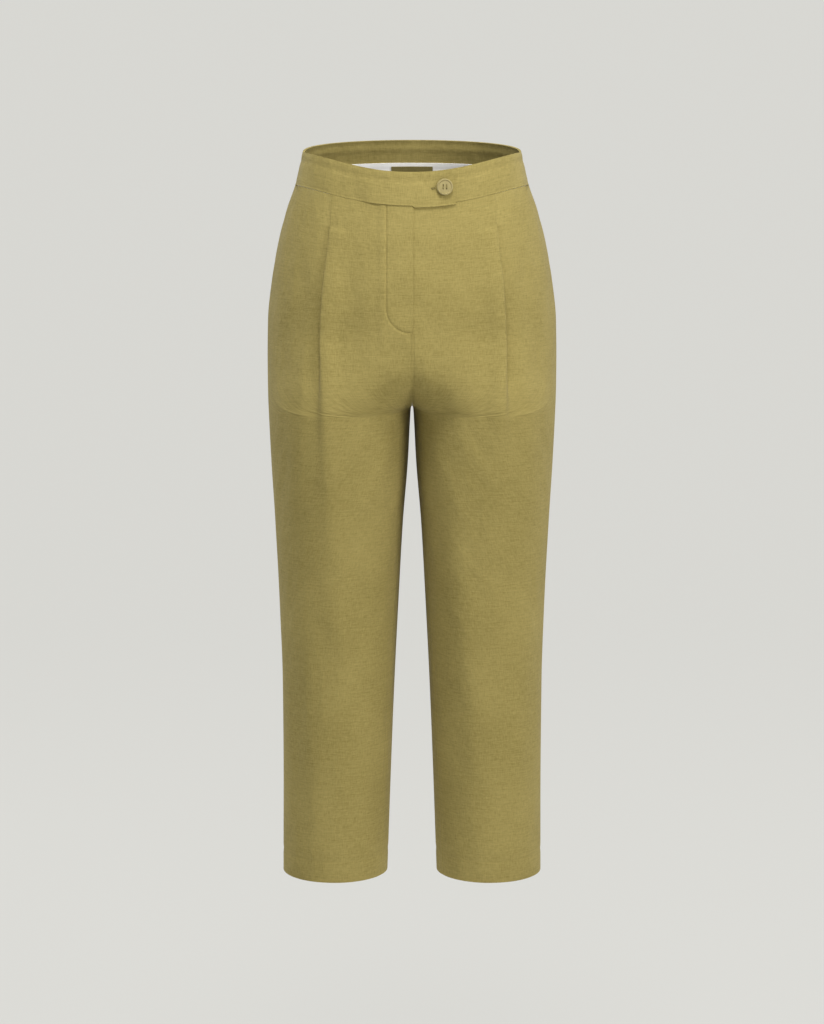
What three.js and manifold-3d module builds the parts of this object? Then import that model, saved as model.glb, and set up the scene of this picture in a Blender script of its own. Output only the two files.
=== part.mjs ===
// Cropped linen trousers with two front pleats, filled out as if worn, with nobody in them.
// Millimetres, +Z up, the front faces -Y and the wearer's left is +X.
// The origin is the middle of the waist opening, level with the waistband's top edge at the sides.
import * as THREE from 'three';
import { mergeVertices } from 'three/addons/utils/BufferGeometryUtils.js';
import Module from 'manifold-3d';

const wasm = await Module();
wasm.setup();

// ---------------------------------------------------------------- driving dimensions
const cloth = 1.2;            // one layer of linen
const bandCloth = 2.4;        // the waistband is two layers
const seamGap = 0.3;          // between two sewn pieces
const layer = cloth + seamGap; // from one layer to the one that lies on it
const bandHeight = 40;        // waistband, top edge to waist seam
const legLength = 920;        // top edge at the side down to the hem
const hemDepth = 28;          // turned-up cloth inside each hem
const sideSeamAngle = 93;     // degrees round from the front of a ring
const frontDip = 21.5;        // the top edge is this much lower at the centre front
const backRise = 12.5;        // and this much higher at the centre back
const dipEnd = 250;           // depth below the side's top edge where rings lie level

const fly = { length: 212, width: 33, over: 1.6, under: 3, blend: 12 };
const pocket = { top: 40, foot: 6, mouthEnd: 134, end: 140, behind: 18, floor: 156 };
const tab = { past: 52.8, underlap: 25 };
const lining = { top: 29, bottom: 76, thickness: 1 };
const label = { width: 54, height: 25, drop: 33.5, thickness: 1 };
const button = { radius: 10, height: 3, rim: 1.7, dish: 0.9, hole: 0.95, pitch: 2.1, along: 39, level: 20 };

// Rings of the body, by depth below the side's top edge. outer and inner are half widths of one
// leg's ring from the centre line (inner is negative where both legs share one ring), front and
// back are depths, and square is the ring's exponent: 2 is an ellipse, more is boxier.
const rings = [
  { z: 0, outer: 135.6, inner: -135.6, front: -95, back: 95, square: 2.05 },
  { z: -40, outer: 144.8, inner: -144.8, front: -101, back: 105, square: 2.1 },
  { z: -72, outer: 156.2, inner: -156.2, front: -106, back: 115, square: 2.15 },
  { z: -109, outer: 165.6, inner: -165.6, front: -111, back: 124, square: 2.2 },
  { z: -158, outer: 175, inner: -175, front: -117, back: 133, square: 2.2 },
  { z: -208, outer: 180.5, inner: -180.5, front: -120, back: 138, square: 2.2 },
  { z: -257, outer: 181.3, inner: -110, front: -121, back: 136, square: 2.2 },
  { z: -289, outer: 181, inner: -35, front: -120, back: 130, square: 2.2 },
  { z: -307, outer: 180.6, inner: -10, front: -119, back: 126, square: 2.2 },
  { z: -317, outer: 180.2, inner: 1.2, front: -118, back: 124, square: 2.2 },
  { z: -335, outer: 179.5, inner: 2.5, front: -116, back: 120, square: 2.2 },
  { z: -385, outer: 177.2, inner: 5.1, front: -110, back: 109, square: 2.2 },
  { z: -462, outer: 173, inner: 11.4, front: -100, back: 97, square: 2.15 },
  { z: -566, outer: 168.5, inner: 17.2, front: -88, back: 88, square: 2.1 },
  { z: -670, outer: 165.9, inner: 22.4, front: -78, back: 81, square: 2.1 },
  { z: -776, outer: 165.7, inner: 26.7, front: -71, back: 75, square: 2.05 },
  { z: -920, outer: 166.7, inner: 31.8, front: -64, back: 67, square: 2 },
];

// The inseam runs from the innermost point of the ring at the crotch to a little in front of it.
const inseam = [
  { z: -317, angle: 90 },
  { z: -420, angle: 82 },
  { z: -600, angle: 66 },
  { z: -920, angle: 62 },
];

// A front pleat by depth: x is the fold's distance from the centre line, turn is how far the
// cloth doubles back in degrees, under is the flat of the underlap, and bend is the cloth in
// each of the two bends. proud is how much of the step stands above the panel.
const pleats = {
  right: [
    { z: -40, x: 97.5, turn: 178, under: 17, bend: 2.7, proud: 0.55 },
    { z: -84, x: 99.5, turn: 178, under: 15, bend: 2.7, proud: 0.55 },
    { z: -165, x: 107, turn: 166, under: 9, bend: 3.1, proud: 0.6 },
    { z: -214, x: 109.5, turn: 132, under: 3, bend: 3.4, proud: 0.6 },
    { z: -250, x: 110.5, turn: 75, under: 1.5, bend: 4.2, proud: 0.6 },
    { z: -300, x: 111, turn: 32, under: 1.5, bend: 6, proud: 0.6 },
    { z: -390, x: 108, turn: 9, under: 2, bend: 9, proud: 0.5 },
    { z: -560, x: 100, turn: 3, under: 3, bend: 12, proud: 0.5 },
    { z: -920, x: 96, turn: 1, under: 3, bend: 9, proud: 0.5 },
  ],
  left: [
    { z: -40, x: 101, turn: 178, under: 15, bend: 2.7, proud: 0.55 },
    { z: -84, x: 103, turn: 176, under: 12, bend: 2.7, proud: 0.6 },
    { z: -165, x: 109, turn: 150, under: 6, bend: 3.1, proud: 0.7 },
    { z: -214, x: 111.5, turn: 105, under: 2, bend: 3.6, proud: 0.7 },
    { z: -250, x: 113, turn: 58, under: 1.5, bend: 4.6, proud: 0.7 },
    { z: -300, x: 114.5, turn: 24, under: 1.5, bend: 7, proud: 0.7 },
    { z: -390, x: 113, turn: 6, under: 2, bend: 10, proud: 0.5 },
    { z: -560, x: 104, turn: 2, under: 3, bend: 12, proud: 0.5 },
    { z: -920, x: 98, turn: 1, under: 3, bend: 9, proud: 0.5 },
  ],
};

// The largest soft folds of each panel: a ridge (positive) or trough (negative) of a height,
// along x from its top through its middle to its foot, with a half width across.
const folds = {
  front_right: [
    { top: -90, foot: -290, x: [78, 74, 68], width: 15, height: -2.2 },
    { top: -300, foot: -640, x: [111, 104, 92], width: 20, height: 2.6 },
    { top: -600, foot: -900, x: [150, 146, 138], width: 14, height: -2.4 },
  ],
  front_left: [
    { top: -150, foot: -380, x: [106, 100, 92], width: 16, height: -2.4 },
    { top: -330, foot: -820, x: [36, 64, 84], width: 20, height: 4.2 },
    { top: -560, foot: -900, x: [140, 136, 134], width: 15, height: 2.4 },
  ],
  back_right: [
    { top: -36, foot: -140, x: [70, 72, 74], width: 7, height: -1.6 },
    { top: -290, foot: -420, x: [40, 70, 104], width: 16, height: -3 },
    { top: -430, foot: -720, x: [120, 104, 96], width: 20, height: 2.6 },
  ],
  back_left: [
    { top: -36, foot: -140, x: [70, 72, 74], width: 7, height: -1.6 },
    { top: -300, foot: -450, x: [44, 78, 116], width: 17, height: -2.8 },
    { top: -500, foot: -800, x: [84, 92, 108], width: 20, height: 2.8 },
  ],
};

// Depths of the panels' rows, closer together where the body and the crotch turn fast. Fronts and
// backs share them, so their seams run together.
const panelDepths = [-bandHeight - seamGap, -62, -84, -112, -134, -140, -165, -190, -206, -214, -222, -240, -262,
  -287, -303, -312, -317, -333, -356, -396, -450, -530, -620, -720, -820,
  -legLength + hemDepth, -legLength + hemDepth - 0.6, -legLength];
const hemRow = panelDepths.length - 2;

// ---------------------------------------------------------------- small maths
const radians = THREE.MathUtils.degToRad;
const mix = THREE.MathUtils.lerp;
const signedPower = (v, p) => Math.sign(v) * Math.abs(v) ** p;

// 0 at a, 1 at b, with a level start and end.
function ease(v, a, b) {
  const t = THREE.MathUtils.clamp((v - a) / (b - a), 0, 1);
  return t * t * (3 - 2 * t);
}

// Reads every column of a table at a depth, along a smooth curve that never overshoots a row.
function readTable(rows, z) {
  const last = rows.length - 1;
  let k = 0;
  while (k < last - 1 && z < rows[k + 1].z) k += 1;
  const span = rows[k + 1].z - rows[k].z;
  const t = THREE.MathUtils.clamp((z - rows[k].z) / span, 0, 1);
  const value = {};
  for (const name of Object.keys(rows[0])) {
    const slope = (i) => (rows[i + 1][name] - rows[i][name]) / (rows[i + 1].z - rows[i].z);
    const tangent = (i) => {
      if (i === 0) return slope(0);
      if (i === last) return slope(last - 1);
      const before = slope(i - 1);
      const after = slope(i);
      return before * after <= 0 ? 0 : (2 * before * after) / (before + after);
    };
    const a = rows[k][name];
    const b = rows[k + 1][name];
    const ta = tangent(k) * span;
    const tb = tangent(k + 1) * span;
    value[name] = a + t * (ta + t * (3 * (b - a) - 2 * ta - tb + t * (2 * (a - b) + ta + tb)));
  }
  return value;
}

// ---------------------------------------------------------------- rings of the body
// A point of the ring at a depth. The angle runs from 0 at the front through 90 at the outer
// side and 180 at the back to 270 at the inner side.
function ringPoint(z, angle) {
  const r = readTable(rings, z);
  const sine = Math.sin(radians(angle));
  const cosine = Math.cos(radians(angle));
  const power = 2 / r.square;
  const x = (r.outer + r.inner) / 2 + ((r.outer - r.inner) / 2) * signedPower(sine, power);
  const y = (r.back + r.front) / 2 - ((r.back - r.front) / 2) * signedPower(cosine, power);
  const dip = cosine > 0 ? -frontDip * cosine ** 3 : backRise * (-cosine) ** 0.8;
  return new THREE.Vector3(x, y, z + dip * (1 - ease(z, -bandHeight, -dipEnd)));
}

// Half a ring as a run of points, measured in cloth from the centre line, or below the crotch
// from the inseam, out to the side seam. way is 1 for the front half and -1 for the back half.
function halfRing(z, way) {
  const crotch = rings.find((r) => r.inner > 0).z;
  const reach = 30;
  const steps = 150;
  const start = way > 0 ? -90 - reach : 270 + reach;
  const inner = readTable(inseam, Math.min(z, crotch)).angle;
  const startAngle = way > 0 ? -inner : 360 - inner;
  const run = [];
  for (let i = 0; i <= steps; i += 1) {
    const angle = mix(start, sideSeamAngle + way * reach, i / steps);
    const point = ringPoint(z, angle);
    const s = i === 0 ? 0 : run[i - 1].s + point.distanceTo(run[i - 1].point);
    run.push({ angle, point, s });
  }
  const passed = (p) => (z > crotch ? p.point.x > 0 && (p.angle - 180) * way < 90 - 90 * way
    && Math.abs(p.angle - (way > 0 ? 0 : 180)) <= 90 : (p.angle - startAngle) * way > 0);
  const k = run.findIndex((p, i) => i > 0 && passed(p));
  const before = run[k - 1];
  const after = run[k];
  const share = z > crotch
    ? before.point.x / (before.point.x - after.point.x)
    : (startAngle - before.angle) / (after.angle - before.angle);
  const zero = mix(before.s, after.s, THREE.MathUtils.clamp(share, 0, 1));
  for (const p of run) p.s -= zero;
  return run;
}

// The distance from the centre line, or the inseam, out to the side seam.
function ringLength(run) {
  const way = Math.sign(run[1].angle - run[0].angle);
  const k = run.findIndex((p) => (p.angle - sideSeamAngle) * way >= 0);
  const share = (sideSeamAngle - run[k - 1].angle) / (run[k].angle - run[k - 1].angle);
  return mix(run[k - 1].s, run[k].s, share);
}

// The point at a distance s along a half ring, moved out by a height.
function onRing(run, s, height) {
  const last = run.length - 2;
  let k = 0;
  while (k < last && run[k + 1].s < s) k += 1;
  const t = (s - run[k].s) / (run[k + 1].s - run[k].s);
  const point = run[k].point.clone().lerp(run[k + 1].point, t);
  const ahead = run[Math.min(k + 2, last + 1)].point;
  const behind = run[Math.max(k - 1, 0)].point;
  const along = ahead.clone().sub(behind).setZ(0).normalize();
  const way = run[0].angle < run[last].angle ? 1 : -1;
  return point.add(new THREE.Vector3(along.y * way, -along.x * way, 0).multiplyScalar(height));
}

// Where a half ring reaches a distance x from the centre line.
function distanceAtX(run, x) {
  const k = run.findIndex((p) => p.s > 0 && p.point.x > x);
  const a = run[k - 1];
  const b = run[k];
  return mix(a.s, b.s, (x - a.point.x) / (b.point.x - a.point.x));
}

// How far the soft folds of a panel move a point at distance x from the centre line.
function foldHeight(list, x, z) {
  let height = 0;
  for (const fold of list) {
    const t = (z - fold.top) / (fold.foot - fold.top);
    if (t <= 0 || t >= 1) continue;
    const [a, b, c] = fold.x;
    const centre = a * (1 - t) * (1 - 2 * t) + 4 * b * t * (1 - t) + c * t * (2 * t - 1);
    const across = (x - centre) / fold.width;
    height += fold.height * Math.exp(-across * across) * Math.sin(Math.PI * t) ** 0.8;
  }
  return height;
}

// ---------------------------------------------------------------- closed walls of cloth
// Distances along a row with a spare one past each end.
function withSpares(list) {
  const n = list.length;
  return [2 * list[0] - list[1], ...list, 2 * list[n - 1] - list[n - 2]];
}

// Closes a grid of points, the middle of the cloth, into a wall. Rows run down, and columns run
// toward the wearer's left seen from outside, way turns that round. The spare first and last
// columns only give the cloth's direction at its edges. extra thickens the inside.
function wall(grid, thickness, way = 1, extra = () => 0) {
  const rowCount = grid.length;
  const columnCount = grid[0].length - 2;
  const positions = [];
  const at = (i, j) => grid[THREE.MathUtils.clamp(i, 0, rowCount - 1)][j + 1];
  for (const side of [1, -1]) {
    for (let i = 0; i < rowCount; i += 1) {
      for (let j = 0; j < columnCount; j += 1) {
        const across = at(i, j + 1).clone().sub(at(i, j - 1));
        const down = at(i + 1, j).clone().sub(at(i - 1, j));
        const normal = down.cross(across).normalize().multiplyScalar(way);
        const reach = side > 0 ? thickness / 2 : -thickness / 2 - extra(i);
        positions.push(...at(i, j).clone().addScaledVector(normal, reach).toArray());
      }
    }
  }
  const index = [];
  const inside = rowCount * columnCount;
  const id = (i, j, side) => i * columnCount + j + side * inside;
  const quad = (a, b, c, d) => {
    if (way > 0) index.push(a, b, c, a, c, d);
    else index.push(a, c, b, a, d, c);
  };
  for (let i = 0; i < rowCount - 1; i += 1) {
    for (let j = 0; j < columnCount - 1; j += 1) {
      quad(id(i, j, 0), id(i + 1, j, 0), id(i + 1, j + 1, 0), id(i, j + 1, 0));
      quad(id(i, j, 1), id(i, j + 1, 1), id(i + 1, j + 1, 1), id(i + 1, j, 1));
    }
    quad(id(i, 0, 0), id(i, 0, 1), id(i + 1, 0, 1), id(i + 1, 0, 0));
    const j = columnCount - 1;
    quad(id(i, j, 0), id(i + 1, j, 0), id(i + 1, j, 1), id(i, j, 1));
  }
  for (let j = 0; j < columnCount - 1; j += 1) {
    quad(id(0, j, 0), id(0, j + 1, 0), id(0, j + 1, 1), id(0, j, 1));
    const i = rowCount - 1;
    quad(id(i, j, 0), id(i, j, 1), id(i, j + 1, 1), id(i, j + 1, 0));
  }
  const geometry = new THREE.BufferGeometry();
  geometry.setAttribute('position', new THREE.Float32BufferAttribute(positions, 3));
  geometry.setIndex(index);
  return geometry;
}

// The wearer's right half is the left half mirrored across the centre line.
function mirrored(geometry) {
  const position = geometry.getAttribute('position');
  for (let i = 0; i < position.count; i += 1) position.setX(i, -position.getX(i));
  const index = geometry.getIndex();
  for (let i = 0; i < index.count; i += 3) {
    const second = index.getX(i + 1);
    index.setX(i + 1, index.getX(i + 2));
    index.setX(i + 2, second);
  }
  return geometry;
}

const sided = (geometry, side) => (side === 'right' ? mirrored(geometry) : geometry);

// ---------------------------------------------------------------- front panels
// Both fronts run past the centre line at the fly: the right one, to the wearer's left, lies one
// layer higher and laps over the left one.
function flyEdge(z, side) {
  const along = ease(z, -fly.length + fly.blend, -fly.length);
  const edge = side === 'right' ? -fly.over : -fly.under;
  return mix(edge, seamGap / 2, along);
}

function flyLift(s, z, side) {
  if (side !== 'right') return 0;
  return layer * (1 - ease(s, fly.width + 1, fly.width + fly.blend)) * (1 - ease(z, -fly.length - 2, -fly.length - 30));
}

// Distance of the front's edge in front of the side seam: the slanted pocket mouth.
function pocketMouth(z) {
  if (z > -pocket.mouthEnd) return mix(pocket.top, pocket.foot, (z + bandHeight) / (bandHeight - pocket.mouthEnd));
  return mix(pocket.foot, seamGap / 2, ease(z, -pocket.mouthEnd, -pocket.end));
}

// The front's last columns, which the facing under the mouth shares.
const mouthColumns = (end) => [end - pocket.behind, end - pocket.behind / 2, end];

// The doubled-back cloth of a pleat, as distances and heights from the fly side to the side seam.
function pleatProfile(p, fold) {
  const bendSteps = 3;
  const rampSteps = 2;
  const rampLength = 24;
  const turn = radians(p.turn);
  const radius = p.bend / turn;
  const drop = 2 * radius * (1 - Math.cos(turn)) + p.under * Math.sin(turn);
  const top = drop * p.proud;
  const reach = turn > Math.PI / 2 ? radius : radius * Math.sin(turn);
  let s = fold - reach;
  let h = top;
  const profile = [{ s, h }];
  let heading = 0;
  const advance = (length) => {
    s += length * Math.cos(heading);
    h -= length * Math.sin(heading);
    profile.push({ s, h });
  };
  for (const way of [1, -1]) {
    for (let i = 0; i < bendSteps; i += 1) {
      heading += (way * turn) / bendSteps / 2;
      advance((2 * radius * Math.sin(turn / bendSteps / 2)));
      heading += (way * turn) / bendSteps / 2;
    }
    if (way > 0) advance(p.under);
  }
  const first = profile[0];
  const last = profile[profile.length - 1];
  const left = Math.min(first.s, last.s) - rampLength;
  const right = Math.max(first.s, last.s) + rampLength;
  const before = [];
  const after = [];
  for (let i = 0; i < rampSteps; i += 1) {
    const share = i / rampSteps;
    before.push({ s: mix(left, first.s, share), h: first.h * ease(share, 0, 1) });
    after.unshift({ s: mix(right, last.s, share), h: last.h * ease(share, 0, 1) });
  }
  return [...before, ...profile, ...after];
}

function frontPanel(side) {
  const node = `front_${side}`;
  const flyColumns = [0, 16, fly.width + 1, fly.width + fly.blend];
  const spread = [0, 0.25, 0.5, 0.76];
  const grid = panelDepths.map((z) => {
    const run = halfRing(z, 1);
    const p = readTable(pleats[side], z);
    const profile = pleatProfile(p, distanceAtX(run, p.x));
    const start = flyEdge(z, side);
    const end = ringLength(run) - Math.max(pocketMouth(z), seamGap / 2);
    const even = ease(z, -fly.length, -fly.length - 110);
    const columns = [];
    for (let i = 0; i < flyColumns.length; i += 1) {
      const s = start + mix(flyColumns[i], spread[i] * (profile[0].s - start), even);
      columns.push({ s, h: 0 });
    }
    columns.push(...profile);
    const from = profile[profile.length - 1].s;
    for (const s of [mix(from, end - pocket.behind, 0.5), ...mouthColumns(end)]) columns.push({ s, h: 0 });
    const spares = withSpares(columns.map((c) => c.s));
    columns.unshift({ s: spares[0], h: 0 });
    columns.push({ s: spares[spares.length - 1], h: 0 });
    return columns.map(({ s, h }) => {
      const x = onRing(run, s, 0).x;
      const height = h + flyLift(s, z, side) + foldHeight(folds[node], x, z) - cloth / 2;
      return onRing(run, s, height);
    });
  });
  return sided(wall(grid, cloth, 1, (i) => (i >= hemRow ? cloth : 0)), side);
}

// ---------------------------------------------------------------- back panels
function backPanel(side) {
  const node = `back_${side}`;
  const columnCount = 13;
  const grid = panelDepths.map((z) => {
    const run = halfRing(z, -1);
    const end = ringLength(run) - seamGap / 2;
    const even = Array.from({ length: columnCount }, (_, i) => mix(seamGap / 2, end, i / (columnCount - 1)));
    return withSpares(even).map((s) => {
      const x = onRing(run, s, 0).x;
      return onRing(run, s, foldHeight(folds[node], x, z) - cloth / 2);
    });
  });
  return sided(wall(grid, cloth, -1, (i) => (i >= hemRow ? cloth : 0)), side);
}

// ---------------------------------------------------------------- pocket and fly pieces
// The cloth that shows behind a pocket mouth: one layer in under the front, flush at the side.
function pocketFacing(side) {
  const rows = [-bandHeight - 2 * seamGap, -62, -84, -112, -134, -140, -pocket.floor];
  const depth = layer + seamGap;
  const grid = rows.map((z) => {
    const run = halfRing(z, 1);
    const length = ringLength(run);
    const mouth = length - pocketMouth(z);
    const outer = length - mix(seamGap / 2, pocket.foot, ease(z, -pocket.mouthEnd, -pocket.end));
    const flush = 1 - ease(z, -84, -pocket.mouthEnd);
    const [back, middle, edge] = mouthColumns(mouth);
    const last = Math.min(edge, outer - 1);
    return withSpares([back, middle, last, mix(last, outer, 0.5), outer]).map((s) => {
      const rise = flush * ease(s, mouth + 3, outer);
      return onRing(run, s, -cloth / 2 - depth * (1 - rise));
    });
  });
  return sided(wall(grid, cloth), side);
}

// The J-shaped facing behind the right front's edge, beside the left front's edge.
function flyFacing() {
  const rows = [-bandHeight - seamGap, -62, -84, -112, -140, -165, -180, -190, -198, -204];
  const curveStart = -165;
  const grid = rows.map((z) => {
    const run = halfRing(z, 1);
    const drop = THREE.MathUtils.clamp((z - curveStart) / (-fly.length + 4 - curveStart), 0, 1);
    const width = 2 + (fly.width - fly.under - seamGap - 2) * Math.sqrt(1 - drop * drop);
    const start = fly.under + seamGap;
    const even = [0, 1, 2, 3].map((i) => start + (width * i) / 3);
    return withSpares(even).map((s) => onRing(run, s, -cloth / 2));
  });
  return mirrored(wall(grid, cloth));
}

// The strip behind the opening, one layer in, under both fronts.
function flyUnderlap() {
  const rows = [-bandHeight - seamGap, -62, -84, -112, -140, -165, -190, -204];
  const grid = rows.map((z) => {
    const run = halfRing(z, 1);
    return withSpares([-28, -14, 0, 12]).map((s) => {
      const point = onRing(run, Math.abs(s), -cloth / 2 - layer);
      point.x *= Math.sign(s) || 1;
      return point;
    });
  });
  return wall(grid, cloth);
}

// ---------------------------------------------------------------- waistband
// Rows of a band between two depths, at a height over the ring that may change along it.
function bandGrid(way, depths, distances, heightAt) {
  return depths.map((z) => {
    const run = halfRing(z, way);
    const end = ringLength(run) - seamGap / 2;
    const list = distances.map((d) => (d.fixed !== undefined ? d.fixed : mix(d.from, end, d.part)));
    return withSpares(list).map((s) => {
      if (s >= 0) return onRing(run, s, heightAt(s));
      const point = onRing(run, -s, heightAt(s));
      point.x *= -1;
      return point;
    });
  });
}

const bandDepths = [0, -10, -26, -bandHeight];

// Fixed distances near the centre, then even steps on to the side seam.
function bandColumns(fixed, steps) {
  const from = fixed[fixed.length - 1];
  const rest = Array.from({ length: steps }, (_, i) => ({ from, part: (i + 1) / steps }));
  return [...fixed.map((s) => ({ fixed: s })), ...rest];
}

function waistbandFrontRight() {
  const lap = bandCloth + seamGap;
  const distances = bandColumns([-tab.past, -39, -26, -13, 0, 13, tab.underlap + 3, 44, 60, 76], 6);
  const height = (s) => lap * (1 - ease(s, tab.underlap + 3, 76)) - bandCloth / 2;
  return mirrored(wall(bandGrid(1, bandDepths, distances, height), bandCloth));
}

function waistbandFrontLeft() {
  const distances = bandColumns([-tab.underlap, -13, 0, 13, 28, 44, 60], 7);
  return wall(bandGrid(1, bandDepths, distances, () => -bandCloth / 2), bandCloth);
}

// Joins the two mirrored halves of a back piece into one grid across the centre back.
function acrossBack(depths, distances, height) {
  const half = bandGrid(-1, depths, distances, () => height);
  return half.map((row) => {
    const other = row.slice(2).map((p) => new THREE.Vector3(-p.x, p.y, p.z));
    return [...other.reverse(), ...row.slice(1)];
  });
}

function waistbandBack() {
  return wall(acrossBack(bandDepths, bandColumns([0], 10), -bandCloth / 2), bandCloth, -1);
}

function waistLining() {
  const depths = [-lining.top, -44, -60, -lining.bottom];
  const height = -bandCloth - seamGap - lining.thickness / 2;
  return wall(acrossBack(depths, bandColumns([0], 10), height), lining.thickness, -1);
}

function backLabel() {
  const depths = [-label.drop, -label.drop - label.height / 2, -label.drop - label.height];
  const height = -bandCloth - 3 * seamGap - lining.thickness - label.thickness / 2;
  const distances = [0, label.width / 4, label.width / 2].map((s) => ({ fixed: s }));
  return wall(acrossBack(depths, distances, height), label.thickness, -1);
}

// ---------------------------------------------------------------- button
function toSolid(geometry) {
  const bare = new THREE.BufferGeometry();
  bare.setAttribute('position', geometry.getAttribute('position'));
  bare.setIndex(geometry.getIndex());
  const merged = mergeVertices(bare, 1e-4);
  return new wasm.Manifold(new wasm.Mesh({
    numProp: 3,
    vertProperties: new Float32Array(merged.getAttribute('position').array),
    triVerts: new Uint32Array(merged.getIndex().array),
  }));
}

function fromSolid(solid) {
  const mesh = solid.getMesh();
  const geometry = new THREE.BufferGeometry();
  geometry.setAttribute('position', new THREE.Float32BufferAttribute(mesh.vertProperties, 3));
  geometry.setIndex(new THREE.Uint32BufferAttribute(mesh.triVerts, 1));
  return geometry;
}

// A dished disc with a raised rim and four holes, its axis along Y until it is placed.
function buttonShape() {
  const { radius, height, rim, dish, hole, pitch } = button;
  const profile = [
    [0, 0], [radius - 1.2, 0], [radius, 1], [radius, height - 0.6], [radius - 0.6, height],
    [radius - rim, height], [radius - rim - 0.8, height - dish], [0, height - dish],
  ].map(([x, y]) => new THREE.Vector2(x, y));
  let solid = toSolid(new THREE.LatheGeometry(profile, 32));
  for (const x of [-pitch, pitch]) {
    for (const z of [-pitch, pitch]) {
      const drill = new THREE.CylinderGeometry(hole, hole, 3 * height, 10).translate(x, 0, z);
      solid = solid.subtract(toSolid(drill));
    }
  }
  return fromSolid(solid);
}

// The button lies on the tab, square to it.
function placeButton(mesh) {
  const height = bandCloth + 2 * seamGap;
  const at = (s, z) => onRing(halfRing(z, 1), s, height);
  const centre = at(button.along, -button.level);
  const across = at(button.along + 4, -button.level).sub(at(button.along - 4, -button.level));
  const down = at(button.along, -button.level - 4).sub(at(button.along, -button.level + 4));
  const normal = down.cross(across).normalize();
  const clear = 0.35;
  mesh.position.copy(centre).addScaledVector(normal, clear);
  mesh.quaternion.setFromUnitVectors(new THREE.Vector3(0, 1, 0), normal);
}

// ---------------------------------------------------------------- the trousers
const linen = () => new THREE.MeshStandardMaterial({ color: 0x8f8050, roughness: 0.9, metalness: 0 });
const whiteCotton = () => new THREE.MeshStandardMaterial({ color: 0xe6e4df, roughness: 0.9, metalness: 0 });
const labelCloth = () => new THREE.MeshStandardMaterial({ color: 0x74683e, roughness: 0.8, metalness: 0 });
const buttonResin = () => new THREE.MeshStandardMaterial({ color: 0x93844f, roughness: 0.45, metalness: 0 });

const trousers = new THREE.Group();

function add(name, geometry, material) {
  const mesh = new THREE.Mesh(geometry, material);
  mesh.name = name;
  trousers.add(mesh);
  return mesh;
}

for (const side of ['right', 'left']) {
  add(`front_${side}`, frontPanel(side), linen());
  add(`back_${side}`, backPanel(side), linen());
  add(`pocket_facing_${side}`, pocketFacing(side), linen());
}
add('fly_facing', flyFacing(), linen());
add('fly_underlap', flyUnderlap(), linen());
add('waistband_front_right', waistbandFrontRight(), linen());
add('waistband_front_left', waistbandFrontLeft(), linen());
add('waistband_back', waistbandBack(), linen());
add('waist_lining_back', waistLining(), whiteCotton());
add('label', backLabel(), labelCloth());
placeButton(add('button', buttonShape(), buttonResin()));

export default trousers;
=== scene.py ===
# Cropped linen trousers with two front pleats, filled out as if worn, in the CAD frame.
# Sizes are in millimetres here and become metres where a mesh is made.
import math

import bpy
import numpy as np
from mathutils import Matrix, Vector


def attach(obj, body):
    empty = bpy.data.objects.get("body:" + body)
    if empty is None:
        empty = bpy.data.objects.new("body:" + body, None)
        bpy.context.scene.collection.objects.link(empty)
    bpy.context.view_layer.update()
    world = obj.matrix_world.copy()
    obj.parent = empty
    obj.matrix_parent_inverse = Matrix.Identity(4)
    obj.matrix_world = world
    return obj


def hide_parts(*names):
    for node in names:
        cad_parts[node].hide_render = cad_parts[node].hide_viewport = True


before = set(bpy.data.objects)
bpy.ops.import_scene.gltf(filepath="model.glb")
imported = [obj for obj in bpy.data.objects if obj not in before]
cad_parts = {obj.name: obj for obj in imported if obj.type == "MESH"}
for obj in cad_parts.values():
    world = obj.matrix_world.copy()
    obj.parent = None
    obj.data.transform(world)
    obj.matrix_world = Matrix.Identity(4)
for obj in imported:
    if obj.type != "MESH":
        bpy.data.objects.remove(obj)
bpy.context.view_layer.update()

# ------------------------------------------------------------------ driving sizes, millimetres
MM = 0.001
CLOTH = 1.2
BAND_CLOTH = 2.4
SEAM_GAP = 0.3
SHUT = -0.4               # gap at a sewn edge: it runs past the seam, so no light passes
LAYER = CLOTH + SEAM_GAP
BAND_HEIGHT = 40
LEG_LENGTH = 920
HEM_DEPTH = 28
SIDE_SEAM_ANGLE = 93
FRONT_DIP = 21.5
BACK_RISE = 12.5
DIP_END = 250

FLY = dict(length=212, width=33, over=1.6, under=3, blend=12, turn=32, inset=2)
FLY_FACING = dict(end=204, curve=165, foot=2)
FLY_UNDERLAP = dict(outer=28, inner=12)
POCKET = dict(top=40, foot=6, mouth_end=134, end=140, behind=18, floor=156, flush=84)
MOUTH_RIM = dict(width=9, height=0.45)
TAB = dict(past=52.8, underlap=25, settled=76, inset=3, sag=2.2)
LINING = dict(top=29, bottom=76, thickness=1, stitch=36)
LABEL = dict(width=54, height=25, drop=33.5, thickness=1)
BUTTON = dict(along=39, level=20, face=2.6, pitch=2.1)
BUTTONHOLE = dict(before=13.5, length=6, width=0.9, height=0.6, apart=0.7)
BUTTON_THREAD = dict(length=5.4, width=1.1, height=0.7)

# Dents of the lines of stitches: half width and depth.
FLY_LINE = (1.2, 1.1)
FRONT_SEAM = dict(inset=2.2, dent=(0.9, 0.6))
BACK_SEAM = dict(inset=2.4, dent=(1.1, 0.5))
SIDE_SEAM = dict(inset=2.4, dent=(1.1, 0.4))
HEM_LINE = (2.2, 0.5)
LINING_LINE = (0.9, -0.3)
TAB_LINE = (1.0, 0.5)
DART = dict(x=72, top=80, end=130, width=1.4, depth=0.9)

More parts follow.
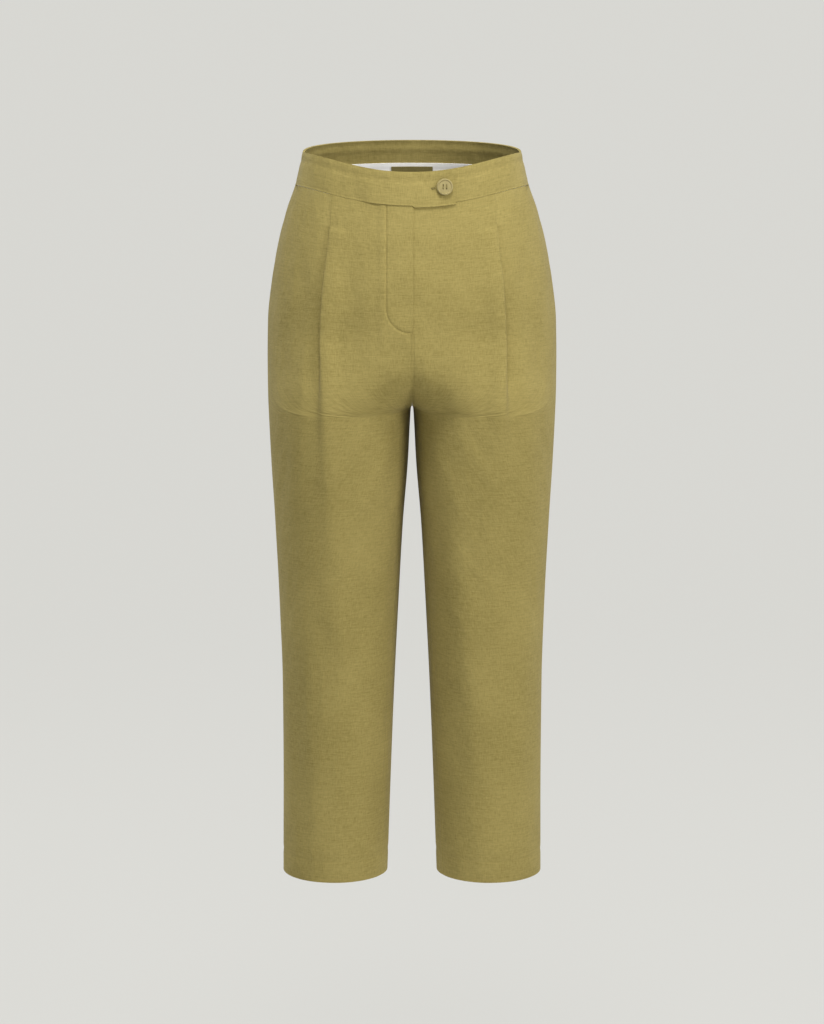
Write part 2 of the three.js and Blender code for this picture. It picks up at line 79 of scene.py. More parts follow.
# Rings of the body, then of a leg, by depth below the side's top edge. A square of 2 is an
# ellipse, and more is boxier.
RINGS = np.array([
    # z, outer, inner, front, back, square
    (0, 135.6, -135.6, -95, 95, 2.05),
    (-40, 144.8, -144.8, -101, 105, 2.1),
    (-72, 156.2, -156.2, -106, 115, 2.15),
    (-109, 165.6, -165.6, -111, 124, 2.2),
    (-158, 175, -175, -117, 133, 2.2),
    (-208, 180.5, -180.5, -120, 138, 2.2),
    (-257, 181.3, -110, -121, 136, 2.2),
    (-289, 181, -35, -120, 130, 2.2),
    (-307, 180.6, -10, -119, 126, 2.2),
    (-317, 180.2, 1.2, -118, 124, 2.2),
    (-335, 179.5, 2.5, -116, 120, 2.2),
    (-385, 177.2, 5.1, -110, 109, 2.2),
    (-462, 173, 11.4, -100, 97, 2.15),
    (-566, 168.5, 17.2, -88, 88, 2.1),
    (-670, 165.9, 22.4, -78, 81, 2.1),
    (-776, 165.7, 26.7, -71, 75, 2.05),
    (-920, 166.7, 31.8, -64, 67, 2),
])
CROTCH = -317
RING_REACH = 30            # degrees that a half ring runs on past its ends
RING_POINTS = 900

PLEAT_STITCH = 76          # each pleat is sewn down flat to here, then opens
PLEAT_OPENING = 9          # over this depth
SEWN_DOWN = 0.22           # share of the table's height down to the stitch
PLEAT_OPEN = 1.5           # and below it
PLEAT_BLEND = 24           # cloth beside the fold that rises to it

# Where the inseam meets each ring, in degrees from the front toward the inner side.
INSEAM = np.array([(-317, 90), (-420, 82), (-600, 66), (-920, 62)])

# The pleats by depth: z, x of the fold, turn in degrees, underlap, cloth in a bend, share proud.
PLEATS = {
    "right": np.array([
        (-40, 97.5, 178, 17, 2.0, 0.35), (-74, 99, 178, 15, 2.1, 0.4),
        (-165, 107, 166, 9, 3.1, 0.6), (-214, 109.5, 132, 3, 3.4, 0.6),
        (-250, 110.5, 75, 1.5, 4.2, 0.6), (-300, 111, 32, 1.5, 6, 0.6),
        (-390, 108, 9, 2, 9, 0.5), (-560, 100, 3, 3, 12, 0.5), (-920, 96, 1, 3, 9, 0.5)]),
    "left": np.array([
        (-40, 101, 178, 15, 2.0, 0.35), (-74, 102.5, 176, 12, 2.1, 0.4),
        (-165, 109, 162, 7, 4.0, 0.7), (-214, 111.5, 135, 3, 4.6, 0.7),
        (-250, 113, 90, 2, 5.4, 0.7), (-300, 114.5, 38, 2, 8, 0.7),
        (-390, 113, 6, 2, 10, 0.5), (-560, 104, 2, 3, 12, 0.5), (-920, 98, 1, 3, 9, 0.5)]),
}

# Soft folds of each panel: top, foot, x at top, middle and foot, half width, height (a trough
# is negative).
FOLDS = {
    "front_right": [
        (-90, -290, 78, 74, 68, 15, -2.2), (-300, -640, 111, 104, 92, 20, 2.6),
        (-600, -900, 150, 146, 138, 14, -2.4), (-230, -420, 30, 46, 60, 12, -1.6),
        (-420, -700, 60, 66, 78, 14, -1.2), (-700, -880, 70, 60, 52, 16, 1.2),
        (-120, -250, 130, 134, 140, 10, -1.0), (-330, -470, 150, 158, 160, 9, -1.4),
    ],
    "front_left": [
        (-150, -380, 106, 100, 92, 16, -2.4), (-330, -820, 36, 64, 84, 20, 4.4),
        (-560, -900, 140, 136, 134, 15, 2.4), (-230, -400, 26, 40, 52, 11, -1.4),
        (-420, -620, 110, 118, 124, 16, -1.2), (-640, -880, 62, 58, 60, 14, -1.4),
        (-110, -240, 138, 142, 146, 9, -1.0),
    ],
    "back_right": [
        (-36, -140, 70, 72, 74, 7, -1.6), (-290, -420, 40, 70, 104, 16, -3),
        (-430, -720, 120, 104, 96, 20, 2.6), (-330, -470, 30, 52, 90, 10, -1.8),
        (-700, -900, 110, 118, 130, 15, -1.8), (-240, -380, 150, 158, 164, 11, -1.4),
    ],
    "back_left": [
        (-36, -140, 70, 72, 74, 7, -1.6), (-300, -450, 44, 78, 116, 17, -2.8),
        (-500, -800, 84, 92, 108, 20, 2.8), (-350, -500, 34, 60, 96, 10, -1.6),
        (-640, -860, 130, 122, 112, 14, -1.6), (-250, -400, 148, 154, 160, 11, -1.2),
    ],
}


# ------------------------------------------------------------------ small maths
def ease(v, a, b):
    t = np.clip((v - a) / (b - a), 0, 1)
    return t * t * (3 - 2 * t)


def mix(a, b, t):
    return a + (b - a) * t


def spread(a, b, steps):
    """Even places from a to b, both included."""
    return mix(a, b, np.arange(steps + 1) / steps)


def towards(a, b, steps):
    """Even places from a that stop one short of b."""
    return mix(a, b, np.arange(steps) / steps)


def read_table(rows, z):
    """Every column at a depth, along a smooth curve that never overshoots a row."""
    last = len(rows) - 1
    k = 0
    while k < last - 1 and z < rows[k + 1][0]:
        k += 1
    slopes = np.diff(rows, axis=0) / np.diff(rows[:, 0])[:, None]
    product = slopes[:-1] * slopes[1:]
    total = slopes[:-1] + slopes[1:]
    inner = np.where(product > 0, 2 * product / np.where(total == 0, 1, total), 0)
    tangents = np.vstack([slopes[0], inner, slopes[-1]])
    span = rows[k + 1][0] - rows[k][0]
    t = min(max((z - rows[k][0]) / span, 0), 1)
    a, b = rows[k], rows[k + 1]
    ta, tb = tangents[k] * span, tangents[k + 1] * span
    return (a + t * (ta + t * (3 * (b - a) - 2 * ta - tb + t * (2 * (a - b) + ta + tb))))[1:]


# ------------------------------------------------------------------ rings of the body
class Run:
    """Half a ring, measured in cloth from the centre line, or the inseam, to the side seam."""

    def __init__(self, z, way):
        outer, inner, front, back, square = read_table(RINGS, z)
        start = -90 - RING_REACH if way > 0 else 270 + RING_REACH
        angle = np.linspace(start, SIDE_SEAM_ANGLE + way * RING_REACH, RING_POINTS)
        sine, cosine = np.sin(np.radians(angle)), np.cos(np.radians(angle))
        power = 2 / square
        x = (outer + inner) / 2 + (outer - inner) / 2 * np.sign(sine) * np.abs(sine) ** power
        y = (back + front) / 2 - (back - front) / 2 * np.sign(cosine) * np.abs(cosine) ** power
        dip = np.where(cosine > 0, -FRONT_DIP * np.abs(cosine) ** 3, BACK_RISE * np.abs(cosine) ** 0.8)
        height = z + dip * (1 - ease(z, -BAND_HEIGHT, -DIP_END))
        self.points = np.stack([x, y, height], axis=1)
        steps = np.linalg.norm(np.diff(self.points, axis=0), axis=1)
        s = np.concatenate([[0], np.cumsum(steps)])
        if z > CROTCH:
            side = np.abs(angle - (0 if way > 0 else 180)) <= 90
            zero = np.interp(0, x[side], s[side])
        else:
            lean = read_table(INSEAM, z)[0]
            seam = -lean if way > 0 else 360 - lean
            zero = np.interp(seam * way, angle * way, s)
        self.s = s - zero
        self.length = float(np.interp(SIDE_SEAM_ANGLE * way, angle * way, self.s))
        along = np.gradient(self.points[:, :2], axis=0)
        along /= np.linalg.norm(along, axis=1)[:, None]
        self.normals = np.stack([along[:, 1], -along[:, 0], np.zeros(len(x))], axis=1) * way

    def at(self, s, height):
        s = np.asarray(s, float)
        point = np.stack([np.interp(s, self.s, self.points[:, i]) for i in range(3)], axis=-1)
        normal = np.stack([np.interp(s, self.s, self.normals[:, i]) for i in range(3)], axis=-1)
        return point + normal * np.asarray(height)[..., None]

    def distance_at(self, x):
        ahead = self.s > 0
        return float(np.interp(x, self.points[ahead, 0], self.s[ahead]))


def fold_height(folds, x, z):
    height = np.zeros_like(x)
    for top, foot, a, b, c, width, size in folds:
        t = (z - top) / (foot - top)
        if t <= 0 or t >= 1:
            continue
        centre = a * (1 - t) * (1 - 2 * t) + 4 * b * t * (1 - t) + c * t * (2 * t - 1)
        height += size * np.exp(-((x - centre) / width) ** 2) * math.sin(math.pi * t) ** 0.8
    return height


def groove(distance, width, depth):
    """The narrow dent of a line of stitches."""
    return -depth * np.exp(-(distance / width) ** 2)


# ------------------------------------------------------------------ walls of cloth
def with_spares(values):
    values = np.asarray(values, float)
    return np.concatenate([[2 * values[0] - values[1]], values, [2 * values[-1] - values[-2]]])


def wall(name, grid, uv, thickness, way=1, mirror=False, extra=None):
    """A closed shell of cloth round a grid of middle points, with a spare column each side."""
    grid = np.array(grid)
    if mirror:
        grid[:, :, 0] *= -1
        way = -way
    across = grid[:, 2:] - grid[:, :-2]
    down = np.gradient(grid[:, 1:-1], axis=0)
    normal = np.cross(down, across)
    normal /= np.linalg.norm(normal, axis=2)[:, :, None] * way
    middle = grid[:, 1:-1]
    rows, columns = middle.shape[:2]
    inward = np.full(rows, thickness / 2) + (0 if extra is None else np.asarray(extra))
    outside = middle + normal * thickness / 2
    inside = middle - normal * inward[:, None, None]
    points = np.concatenate([outside.reshape(-1, 3), inside.reshape(-1, 3)]) * MM
    ids = np.arange(rows * columns).reshape(rows, columns)
    back = ids + rows * columns

    def quads(a, b, c, d):
        order = (a, b, c, d) if way > 0 else (a, d, c, b)
        return np.stack([o.ravel() for o in order], axis=1)

    faces = [quads(ids[:-1, :-1], ids[1:, :-1], ids[1:, 1:], ids[:-1, 1:]),
             quads(back[:-1, :-1], back[:-1, 1:], back[1:, 1:], back[1:, :-1]),
             quads(ids[:-1, 0], back[:-1, 0], back[1:, 0], ids[1:, 0]),
             quads(ids[:-1, -1], ids[1:, -1], back[1:, -1], back[:-1, -1]),
             quads(ids[0, :-1], ids[0, 1:], back[0, 1:], back[0, :-1]),
             quads(ids[-1, :-1], back[-1, :-1], back[-1, 1:], ids[-1, 1:])]
    faces = np.concatenate(faces)
    mesh = bpy.data.meshes.new(name)
    mesh.from_pydata(points.tolist(), [], faces.tolist())
    flat = np.tile(np.array(uv).reshape(-1, 2) * MM, (2, 1))
    layer = mesh.uv_layers.new(name="cloth")
    corner = np.empty(len(mesh.loops), dtype=np.int32)
    mesh.loops.foreach_get("vertex_index", corner)
    layer.data.foreach_set("uv", flat[corner].ravel())
    mesh.polygons.foreach_set("use_smooth", np.ones(len(mesh.polygons), dtype=bool))
    piece = bpy.data.objects.new(name, mesh)
    bpy.context.scene.collection.objects.link(piece)
    mesh.set_sharp_from_angle(angle=math.radians(55))
    return piece


def finish_piece(piece, material, node):
    piece.data.materials.append(material)
    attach(piece, "root")
    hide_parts(node)


# ------------------------------------------------------------------ materials
def nodes_of(name):
    material = bpy.data.materials.new(name)
    material.use_nodes = True
    return material, material.node_tree, material.node_tree.nodes["Principled BSDF"]


def noise(tree, vector, scale, stretch, detail=3.0, roughness=0.6):
    """Noise on the cloth's own coordinates, stretched along the threads."""
    mapping = tree.nodes.new("ShaderNodeMapping")
    mapping.inputs["Scale"].default_value = stretch
    texture = tree.nodes.new("ShaderNodeTexNoise")
    texture.inputs["Scale"].default_value = scale
    texture.inputs["Detail"].default_value = detail
    texture.inputs["Roughness"].default_value = roughness
    tree.links.new(vector, mapping.inputs["Vector"])
    tree.links.new(mapping.outputs["Vector"], texture.inputs["Vector"])
    return texture.outputs["Fac"]


def maths(tree, operation, a, b):
    node = tree.nodes.new("ShaderNodeMath")
    node.operation = operation
    for socket, value in zip(node.inputs, (a, b)):
        if isinstance(value, (int, float)):
            socket.default_value = value
        else:
            tree.links.new(value, socket)
    return node.outputs[0]


def weighted(tree, a, b, share):
    """Two tones added, the second with the given share."""
    return maths(tree, "ADD", maths(tree, "MULTIPLY", a, 1 - share), maths(tree, "MULTIPLY", b, share))


def relief(tree, height, strength, distance):
    bump = tree.nodes.new("ShaderNodeBump")
    bump.inputs["Strength"].default_value = strength
    bump.inputs["Distance"].default_value = distance
    tree.links.new(height, bump.inputs["Height"])
    return bump


def woven(name, dark, light, slub=0.25, roughness=0.9, sheen=0.04, weave=1.0):
    """Plain weave: two crossed sets of uneven threads, with slubs, in colour and relief."""
    material, tree, shader = nodes_of(name)
    vector = tree.nodes.new("ShaderNodeUVMap")
    vector.uv_map = "cloth"
    vector = vector.outputs["UV"]
    weft = noise(tree, vector, 1.0, (150, 760, 1))
    warp = noise(tree, vector, 1.0, (760, 120, 1))
    slubs = noise(tree, vector, 1.0, (38, 420, 1), 2.0)
    patch = noise(tree, vector, 9.0, (1, 1, 1), 2.0)
    streaks = weighted(tree, weighted(tree, weft, warp, 0.5), slubs, slub)
    tone = weighted(tree, streaks, patch, 0.2)
    ramp = tree.nodes.new("ShaderNodeValToRGB")
    ramp.color_ramp.elements[0].position = 0.28
    ramp.color_ramp.elements[0].color = (*dark, 1)
    ramp.color_ramp.elements[1].position = 0.72
    ramp.color_ramp.elements[1].color = (*light, 1)
    tree.links.new(tone, ramp.inputs["Fac"])
    tree.links.new(ramp.outputs["Color"], shader.inputs["Base Color"])
    thread_relief = relief(tree, streaks, 0.35 * weave, 0.0006)
    crumple = relief(tree, noise(tree, vector, 26.0, (1, 0.55, 1), 3.0, 0.5), 0.6 * weave, 0.007)
    tree.links.new(crumple.outputs["Normal"], thread_relief.inputs["Normal"])
    tree.links.new(thread_relief.outputs["Normal"], shader.inputs["Normal"])
    shader.inputs["Roughness"].default_value = roughness
    shader.inputs["Sheen Weight"].default_value = sheen
    shader.inputs["Sheen Roughness"].default_value = 0.5
    shader.inputs["Specular IOR Level"].default_value = 0.2
    return material


def resin(name, colour):
    """Horn-like resin with faint cloudy streaks."""
    material, tree, shader = nodes_of(name)
    place = tree.nodes.new("ShaderNodeTexCoord")
    cloud = noise(tree, place.outputs["Object"], 160.0, (1, 0.4, 1))
    ramp = tree.nodes.new("ShaderNodeValToRGB")
    ramp.color_ramp.elements[0].color = (*[c * 0.8 for c in colour], 1)
    ramp.color_ramp.elements[1].color = (*[min(c * 1.15, 1) for c in colour], 1)
    tree.links.new(cloud, ramp.inputs["Fac"])
    tree.links.new(ramp.outputs["Color"], shader.inputs["Base Color"])
    shader.inputs["Roughness"].default_value = 0.42
    return material


# ------------------------------------------------------------------ panels
# Rows of a panel: close at the pleats and fly, wider down the leg, with a step in at the hem.
HEM_TOP = -LEG_LENGTH + HEM_DEPTH
PANEL_DEPTHS = np.concatenate([
    np.arange(-BAND_HEIGHT - 0.1, -222, -1.6),
    np.arange(-223, -330, -3),
    np.arange(-331, HEM_TOP, -5),
    [HEM_TOP, HEM_TOP - 0.6],
    np.arange(HEM_TOP - 6, -LEG_LENGTH, -5),
    [-LEG_LENGTH]])
HEM_EXTRA = np.where(PANEL_DEPTHS < HEM_TOP - 0.3, CLOTH, 0)


def fly_edge(z, side):
    along = ease(z, -FLY["length"] + FLY["blend"], -FLY["length"])
    edge = -FLY["over"] if side == "right" else -FLY["under"]
    return mix(edge, SHUT, along)


def fly_lift(s, z, side):
    """The right front lies a layer further out over the fly, and sinks back below it."""
    if side != "right":
        return np.zeros_like(s)
    down = 1 - ease(z, -FLY["length"] - 2, -FLY["length"] - 30)
    return LAYER * (1 - ease(s, FLY["width"] + 1, FLY["width"] + FLY["blend"])) * down


def j_stitch(s, z):
    """Distance from the J-shaped line of stitches on the right front."""
    turn = -FLY["length"] + FLY["turn"]
    lead = FLY["width"] - FLY["inset"]
    if z > turn:
        return np.abs(s - lead)
    return np.abs(np.hypot(s * FLY["turn"] / lead, turn - z) - FLY["turn"])


def pocket_mouth(z):
    """Distance from the side seam to the front panel's edge."""
    if z > -POCKET["mouth_end"]:
        return mix(POCKET["top"], POCKET["foot"], (z + BAND_HEIGHT) / (BAND_HEIGHT - POCKET["mouth_end"]))
    return mix(POCKET["foot"], SHUT, ease(z, -POCKET["mouth_end"], -POCKET["end"]))


def pleat_profile(row, run):
    """The doubled-back cloth of a pleat, as distances and heights."""
    fold_x, turn, under, bend, proud = row
    fold = run.distance_at(fold_x)
    turn = math.radians(turn)
    radius = bend / turn
    drop = 2 * radius * (1 - math.cos(turn)) + under * math.sin(turn)
    reach = radius if turn > math.pi / 2 else radius * math.sin(turn)
    bend_steps = 8
    flat_steps = 4
    lengths = []
    headings = []
    heading = 0
    for way in (1, -1):
        for _ in range(bend_steps):
            headings.append(heading + way * turn / bend_steps / 2)
            lengths.append(bend / bend_steps)
            heading += way * turn / bend_steps
        if way > 0:
            headings += [heading] * flat_steps
            lengths += [under / flat_steps] * flat_steps
    lengths = np.array(lengths)
    s = fold - reach + np.concatenate([[0], np.cumsum(lengths * np.cos(headings))])
    h = drop * proud - np.concatenate([[0], np.cumsum(lengths * np.sin(headings))])
    left = min(s[0], s[-1]) - PLEAT_BLEND
    right = max(s[0], s[-1]) + PLEAT_BLEND
    share = towards(0, 1, 10)
    rise = ease(share, 0, 1)
    distances = [mix(left, s[0], share), s, mix(right, s[-1], share)[::-1]]
    heights = [h[0] * rise, h, (h[-1] * rise)[::-1]]
    return np.concatenate(distances), np.concatenate(heights)


def hem_line(z):
    return groove(z - HEM_TOP, *HEM_LINE)


def pleated_columns(z, side, run):
    """Distances and pleat heights across a front panel, from the fly to the pocket mouth."""
    s, h = pleat_profile(read_table(PLEATS[side], z), run)
    h = h * mix(SEWN_DOWN, PLEAT_OPEN, ease(z, -PLEAT_STITCH, -PLEAT_STITCH - PLEAT_OPENING))
    start = fly_edge(z, side)
    fine = min(start + 42, s[0] - 8)
    lead = np.concatenate([towards(start, fine, 50), towards(fine, s[0], 12)])
    tail = spread(s[-1], run.length - pocket_mouth(z), 22)[1:]
    h = np.concatenate([np.zeros(len(lead)), h, np.zeros(len(tail))])
    return np.concatenate([lead, s, tail]), h


def front_panel(side, material):
    node = f"front_{side}"
    grid, uv = [], []
    for z in PANEL_DEPTHS:
        run = Run(z, 1)
        s, h = pleated_columns(z, side, run)
        start, end = s[0], s[-1]
        cloth = np.concatenate([[0], np.cumsum(np.hypot(np.diff(s), np.diff(h)))])
        s = with_spares(s)
        h = np.concatenate([[h[0]], h, [h[-1]]])
        x = run.at(s, np.zeros_like(s))[:, 0]
        height = h + fly_lift(s, z, side) + fold_height(FOLDS[node], x, z) - CLOTH / 2
        if side == "right" and z > -FLY["length"]:
            height = height + groove(j_stitch(s, z), *FLY_LINE)
        if z < -FLY["length"]:
            height = height + groove(s - start - FRONT_SEAM["inset"], *FRONT_SEAM["dent"])
        if z > -POCKET["mouth_end"]:
            height = height + MOUTH_RIM["height"] * ease(s, end - MOUTH_RIM["width"], end)
        height = height + hem_line(z)
        grid.append(run.at(s, height))
        uv.append(np.stack([cloth, np.full(len(cloth), z)], axis=1))
    piece = wall(f"linen_{node}", grid, uv, CLOTH, 1, side == "right", HEM_EXTRA)
    finish_piece(piece, material, node)


def back_panel(side, material):
    node = f"back_{side}"
    grid, uv = [], []
    for z in PANEL_DEPTHS:
        run = Run(z, -1)
        s = spread(SHUT, run.length - SHUT, 80)
        cloth = s - s[0]
        s = with_spares(s)
        x = run.at(s, np.zeros_like(s))[:, 0]
        height = fold_height(FOLDS[node], x, z) - CLOTH / 2 + hem_line(z)
        height = height + groove(s - BACK_SEAM["inset"], *BACK_SEAM["dent"])
        height = height + groove(run.length - s - SIDE_SEAM["inset"], *SIDE_SEAM["dent"])
        if z > -DART["end"]:
            depth = DART["depth"] * ease(z, -DART["end"], -DART["top"])
            height = height + groove(x - DART["x"], DART["width"], depth)
        grid.append(run.at(s, height))
        uv.append(np.stack([cloth, np.full(len(cloth), z)], axis=1))
    piece = wall(f"linen_{node}", grid, uv, CLOTH, -1, side == "right", HEM_EXTRA)
    finish_piece(piece, material, node)


def pocket_facing(side, material):
    node = f"pocket_facing_{side}"
    depth = LAYER + SEAM_GAP
    grid, uv = [], []
    for z in np.linspace(-BAND_HEIGHT - 2 * SEAM_GAP, -POCKET["floor"], 40):
        run = Run(z, 1)
        mouth = run.length - pocket_mouth(z)
        closing = ease(z, -POCKET["mouth_end"], -POCKET["end"])
        outer = run.length - mix(SEAM_GAP / 2, POCKET["foot"], closing)
        flush = 1 - ease(z, -POCKET["flush"], -POCKET["mouth_end"])
        s = with_spares(spread(mouth - POCKET["behind"], outer, 24))
        rise = flush * ease(s, mouth + 3, outer)
        grid.append(run.at(s, -CLOTH / 2 - depth * (1 - rise)))
        uv.append(np.stack([s[1:-1], np.full(len(s) - 2, z)], axis=1))
    piece = wall(f"linen_{node}", grid, uv, CLOTH, 1, side == "right")
    finish_piece(piece, material, node)


def fly_depths():
    return np.linspace(-BAND_HEIGHT - SEAM_GAP, -FLY_FACING["end"], 50)


def fly_facing(material):
    """The strip behind the right front's edge, narrowing in a curve at its foot."""
    start = FLY["under"] + SEAM_GAP
    foot = FLY_FACING["foot"]
    curve_end = 4 - FLY["length"]
    grid, uv = [], []
    for z in fly_depths():
        drop = np.clip((z + FLY_FACING["curve"]) / (curve_end + FLY_FACING["curve"]), 0, 1)
        width = foot + (FLY["width"] - start - foot) * math.sqrt(1 - drop * drop)
        s = with_spares(spread(start, start + width, 12))
        grid.append(Run(z, 1).at(s, np.full(len(s), -CLOTH / 2)))
        uv.append(np.stack([s[1:-1], np.full(len(s) - 2, z)], axis=1))
    piece = wall("linen_fly_facing", grid, uv, CLOTH, 1, True)
    finish_piece(piece, material, "fly_facing")


def fly_underlap(material):
    """The strip that the fly closes over, a layer further in."""
    grid, uv = [], []
    for z in fly_depths():
        s = with_spares(spread(-FLY_UNDERLAP["outer"], FLY_UNDERLAP["inner"], 14))
        points = Run(z, 1).at(np.abs(s), np.full(len(s), -CLOTH / 2 - LAYER))
        points[:, 0] *= np.sign(s)
        grid.append(points)
        uv.append(np.stack([s[1:-1], np.full(len(s) - 2, z)], axis=1))
    piece = wall("linen_fly_underlap", grid, uv, CLOTH)
    finish_piece(piece, material, "fly_underlap")


# ------------------------------------------------------------------ waistband, lining, label
def band(name, node, way, depths, s_of, height_of, thickness, material,
         mirror=False, drop_of=lambda s, z: 0):
    """A strip that follows the waist: s_of gives distances, height_of heights, drop_of its sag."""
    grid, uv = [], []
    for z in depths:
        run = Run(z, way)
        s = s_of(run)
        spares = with_spares(s)
        points = run.at(np.abs(spares), height_of(spares, z))
        points[:, 0] *= np.where(spares < 0, -1, 1)
        points[:, 2] -= drop_of(spares, z)
        grid.append(points)
        uv.append(np.stack([s, np.full(len(s), z)], axis=1))
    piece = wall(name, grid, uv, thickness, way, mirror)
    finish_piece(piece, material, node)


# Rows of a band, close at its folded top edge.
BAND_DEPTHS = np.concatenate([[0, -0.5, -1.2], np.arange(-2.5, -BAND_HEIGHT, -1.5), [-BAND_HEIGHT]])


def band_relief(z):
    """The rolled top edge, the soft trough below it and the dent over the seam."""
    return groove(z, 2.5, 0.35) + groove(z + 11, 4, 0.7) + groove(z + 38, 2.0, 0.3)


def waistbands(material):
    lap = BAND_CLOTH + SEAM_GAP

    def right_height(s, z):
        lift = lap * (1 - ease(s, TAB["underlap"] + 3, TAB["settled"]))
        edge = groove(s + TAB["past"] - TAB["inset"], *TAB_LINE)
        return lift - BAND_CLOTH / 2 + band_relief(z) + edge

    def tab_drop(s, z):
        return TAB["sag"] * ease(-z, BAND_HEIGHT / 2, BAND_HEIGHT) * ease(-s, 0, 3)

    def plain_height(s, z):
        return np.full(len(s), -BAND_CLOTH / 2) + band_relief(z)

    band("linen_waistband_front_right", "waistband_front_right", 1, BAND_DEPTHS,
         lambda run: spread(-TAB["past"], run.length - SHUT, 220), right_height,
         BAND_CLOTH, material, mirror=True, drop_of=tab_drop)
    band("linen_waistband_front_left", "waistband_front_left", 1, BAND_DEPTHS,
         lambda run: spread(-TAB["underlap"], run.length - SHUT, 100), plain_height,
         BAND_CLOTH, material)
    band("linen_waistband_back", "waistband_back", -1, BAND_DEPTHS,
         lambda run: spread(-run.length + SHUT, run.length - SHUT, 180), plain_height,
         BAND_CLOTH, material)


def lining_and_label(white, label_cloth):
    depth = -BAND_CLOTH - SEAM_GAP - LINING["thickness"] / 2
    rows = np.linspace(-LINING["top"], -LINING["bottom"], 32)
    band("cotton_waist_lining_back", "waist_lining_back", -1, rows,
         lambda run: spread(-run.length + SHUT, run.length - SHUT, 180),
         lambda s, z: np.full(len(s), depth) + groove(z + LINING["stitch"], *LINING_LINE),
         LINING["thickness"], white)
    deeper = -BAND_CLOTH - 3 * SEAM_GAP - LINING["thickness"] - LABEL["thickness"] / 2
    rows = np.linspace(-LABEL["drop"], -LABEL["drop"] - LABEL["height"], 20)
    band("label_blank", "label", -1, rows,
         lambda run: spread(-LABEL["width"] / 2, LABEL["width"] / 2, 40),
         lambda s, z: np.full(len(s), deeper), LABEL["thickness"], label_cloth)


# ------------------------------------------------------------------ button thread, buttonhole
def thread_bar(name, centre, along, out, size, material):
    """A short rounded bundle of thread lying on a surface."""
    length, width, height = (size[key] * MM for key in ("length", "width", "height"))
    across = along.cross(out)
    steps = 12
    sides = 8
    points = []
    faces = []
    for i in range(steps + 1):
        t = i / steps
        arch = math.sin(math.pi * t) ** 0.5
        middle = centre + along * (t - 0.5) * length + out * height * 0.6 * arch
        for k in range(sides):
            turn = 2 * math.pi * k / sides
            girth = 0.35 + 0.65 * arch
            points.append(middle + across * math.cos(turn) * width / 2 * girth
                          + out * math.sin(turn) * height / 2 * girth)
    for i in range(steps):
        for k in range(sides):
            a, b = i * sides + k, i * sides + (k + 1) % sides
            faces.append((a, b, b + sides, a + sides))
    faces += [tuple(reversed(range(sides))), tuple(steps * sides + k for k in range(sides))]
    mesh = bpy.data.meshes.new(name)
    mesh.from_pydata([tuple(p) for p in points], [], faces)
    mesh.polygons.foreach_set("use_smooth", [True] * len(faces))
    bar = bpy.data.objects.new(name, mesh)
    bpy.context.scene.collection.objects.link(bar)
    bar.data.materials.append(material)
    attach(bar, "root")


def button_sewing(material):
    """Two stitches across the button's holes, and the two lips of the buttonhole."""
    def place(s, z, height):
        return Vector(Run(z, 1).at(np.array([float(s)]), np.array([float(height)]))[0]) * MM

    along = BUTTON["along"]
    level = -BUTTON["level"]
    lap = BAND_CLOTH + 2 * SEAM_GAP
    centre = place(along, level, lap)
    across = (place(along + 4, level, lap) - place(along - 4, level, lap)).normalized()
    up = (place(along, level + 4, lap) - place(along, level - 4, lap)).normalized()
    out = across.cross(up).normalized()
    for name, side in (("thread_left", -1), ("thread_right", 1)):
        seat = centre + out * BUTTON["face"] * MM + across * side * BUTTON["pitch"] * MM
        thread_bar(name, seat, up, out, BUTTON_THREAD, material)
    hole = place(along - BUTTONHOLE["before"], level, lap - 0.1)
    for name, side in (("buttonhole_upper", 1), ("buttonhole_lower", -1)):
        seat = hole + up * side * BUTTONHOLE["apart"] * MM
        thread_bar(name, seat, across, out, BUTTONHOLE, material)


# ------------------------------------------------------------------ camera, light, floor
CAMERA_PLACE = Vector((0, -3.2, 0.083))
CAMERA_TARGET = Vector((0, 0, -0.452))


def camera():
    data = bpy.data.cameras.new("camera")
    data.lens = 90
    data.sensor_width = 36
    seat = bpy.data.objects.new("camera", data)
    seat.location = CAMERA_PLACE
    seat.rotation_euler = (CAMERA_TARGET - CAMERA_PLACE).to_track_quat("-Z", "Y").to_euler()
    bpy.context.scene.collection.objects.link(seat)
    bpy.context.scene.camera = seat


def area_light(name, place, target, size, power, colour=(1, 1, 1)):
    data = bpy.data.lights.new(name, "AREA")
    data.size = size
    data.energy = power
    data.color = colour
    lamp = bpy.data.objects.new(name, data)
    lamp.location = place
    lamp.rotation_euler = (Vector(target) - Vector(place)).to_track_quat("-Z", "Y").to_euler()
    bpy.context.scene.collection.objects.link(lamp)


def studio():
    area_light("key", (2.6, -2.4, 0.8), (0, 0, -0.45), 1.3, 67, (1, 0.985, 0.96))
    area_light("fill", (-2.8, -2.4, 0.2), (0, 0, -0.5), 2.4, 14)
    area_light("rim_left", (-2.2, 1.6, 0.2), (0, 0, -0.5), 1.2, 20)
    area_light("rim_right", (2.2, 1.6, 0.2), (0, 0, -0.5), 1.2, 16)
    area_light("top", (0, -0.8, 1.5), (0, 0.1, -0.03), 0.5, 32)
    world = bpy.data.worlds.new("studio")
    world.use_nodes = True
    world.node_tree.nodes["Background"].inputs["Color"].default_value = (0.97, 0.97, 0.95, 1)
    world.node_tree.nodes["Background"].inputs["Strength"].default_value = 0.38
    bpy.context.scene.world = world
    bpy.context.scene.view_settings.view_transform = "Standard"


BACKDROP_GLOW = 0.92       # share of the backdrop's own pale tone that the camera sees


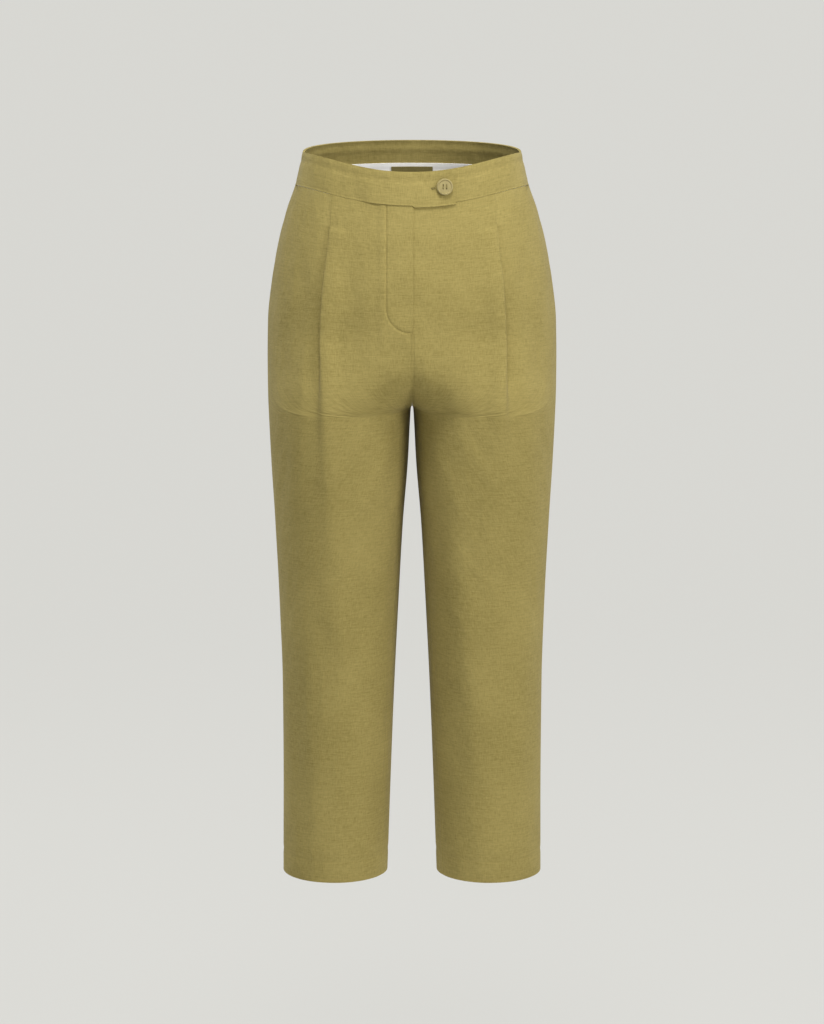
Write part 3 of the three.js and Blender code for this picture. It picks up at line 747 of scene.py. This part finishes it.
def backdrop():
    """A pale floor that curves up behind the trousers."""
    near = -7.0
    far = 3.5
    depth = -1.35
    top = 7.0
    half_width = 9.0
    radius = 2.0
    profile = [(near, depth)]
    for turn in spread(0, math.pi / 2, 24):
        profile.append((far + radius * math.sin(turn), depth + radius * (1 - math.cos(turn))))
    profile.append((far + radius, top))
    points = [(x, y, z) for y, z in profile for x in (-half_width, half_width)]
    faces = [(2 * i, 2 * i + 1, 2 * i + 3, 2 * i + 2) for i in range(len(profile) - 1)]
    mesh = bpy.data.meshes.new("backdrop")
    mesh.from_pydata(points, [], faces)
    mesh.polygons.foreach_set("use_smooth", [True] * len(faces))
    floor = bpy.data.objects.new("backdrop", mesh)
    bpy.context.scene.collection.objects.link(floor)
    material, tree, shader = nodes_of("paper")
    shader.inputs["Base Color"].default_value = (0.88, 0.88, 0.85, 1)
    shader.inputs["Roughness"].default_value = 0.95
    glow = tree.nodes.new("ShaderNodeEmission")
    glow.inputs["Color"].default_value = (0.703, 0.699, 0.664, 1)
    light_path = tree.nodes.new("ShaderNodeLightPath")
    share = maths(tree, "MULTIPLY", light_path.outputs["Is Camera Ray"], BACKDROP_GLOW)
    blend = tree.nodes.new("ShaderNodeMixShader")
    tree.links.new(share, blend.inputs["Fac"])
    tree.links.new(shader.outputs["BSDF"], blend.inputs[1])
    tree.links.new(glow.outputs["Emission"], blend.inputs[2])
    tree.links.new(blend.outputs["Shader"], tree.nodes["Material Output"].inputs["Surface"])
    floor.data.materials.append(material)


# ------------------------------------------------------------------ the trousers
camera()
linen = woven("linen_olive", (0.17, 0.134, 0.033), (0.385, 0.313, 0.108))
white = woven("cotton_white", (0.84, 0.835, 0.82), (0.94, 0.93, 0.91), 0.2, 0.9, 0.1, 0.6)
label_cloth = woven("label_olive", (0.15, 0.12, 0.038), (0.23, 0.19, 0.066), 0.15, 0.7, 0.1, 0.8)
for wearer_side in ("right", "left"):
    front_panel(wearer_side, linen)
    back_panel(wearer_side, linen)
    pocket_facing(wearer_side, linen)
fly_facing(linen)
fly_underlap(linen)
waistbands(linen)
lining_and_label(white, label_cloth)
button_sewing(woven("thread_olive", (0.16, 0.13, 0.04), (0.24, 0.195, 0.07)))
button = bpy.data.objects["button"]
button.data.materials.clear()
button.data.materials.append(resin("resin_olive", (0.30, 0.245, 0.095)))
studio()
backdrop()
